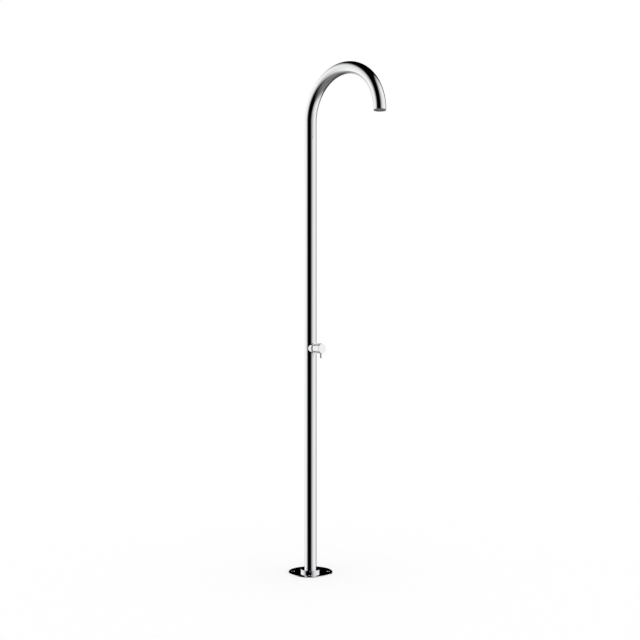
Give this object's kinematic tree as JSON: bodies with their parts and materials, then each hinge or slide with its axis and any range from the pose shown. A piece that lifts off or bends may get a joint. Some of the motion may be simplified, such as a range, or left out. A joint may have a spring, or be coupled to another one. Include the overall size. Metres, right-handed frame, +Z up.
{
  "type": "shower column",
  "caption": "Free-standing polished steel shower column: a tube bent over in a half-circle crook with a spray outlet in its end, a round tap with a pin lever, and a bolted floor flange.",
  "frame": {"origin": "centre of the floor flange's underside, on the axis of the tube", "axes": "+Z up along the tube, +X the way the crook and the tap point"},
  "size_m": [0.555, 0.2, 2.293],
  "materials": {
    "polished_stainless": "mirror polished stainless steel",
    "satin_stainless": "satin grey spray face",
    "screw_steel": "plain stainless fasteners and crimped sleeves",
    "brass": "machined brass",
    "acetal": "moulded white acetal",
    "alumina": "lapped alumina ceramic",
    "nitrile_rubber": "black rubber seals",
    "silicone": "grey silicone nozzles",
    "braided_hose": "steel braid over rubber",
    "riser_plastic": "cross-linked plastic pipe"
  },
  "bodies": {
    "column": {"base_collar": "polished_stainless", "cartridge_housing": "acetal", "cartridge_nut": "brass", "cartridge_o_ring": "nitrile_rubber", "clamp_nut": "brass", "clamp_washer": "acetal", "cold_hose": "braided_hose", "collar_grub_screws": "screw_steel", "column_tube": "polished_stainless", "fixed_disc": "alumina", "floor_flange": "polished_stainless", "hot_hose": "braided_hose", "nozzle_mat": "silicone", "outlet_grub_screw": "screw_steel", "outlet_o_ring": "nitrile_rubber", "outlet_tail": "brass", "port_seals": "nitrile_rubber", "riser_ferrules": "screw_steel", "riser_hose": "riser_plastic", "riser_tail": "brass", "spray_housing": "acetal", "spray_plate": "satin_stainless", "strainer": "screw_steel", "supply_ferrules": "screw_steel", "supply_nipples": "brass", "supply_nuts": "brass", "supply_tails": "brass", "supply_washers": "nitrile_rubber", "tap_boss": "polished_stainless", "valve_body": "brass"},
    "handle": {"knob": "polished_stainless", "lever_pin": "polished_stainless", "knob_grub_screw": "screw_steel", "spindle": "brass", "disc_driver": "acetal", "moving_disc": "alumina", "spindle_o_ring": "nitrile_rubber"}
  },
  "joints": [
    {"name": "handle_turn", "type": "hinge", "parent": "column", "child": "handle", "pos_m": [0.05, 0, 1.023], "axis": [1, 0, 0], "range_deg": [0, 120]}
  ]
}
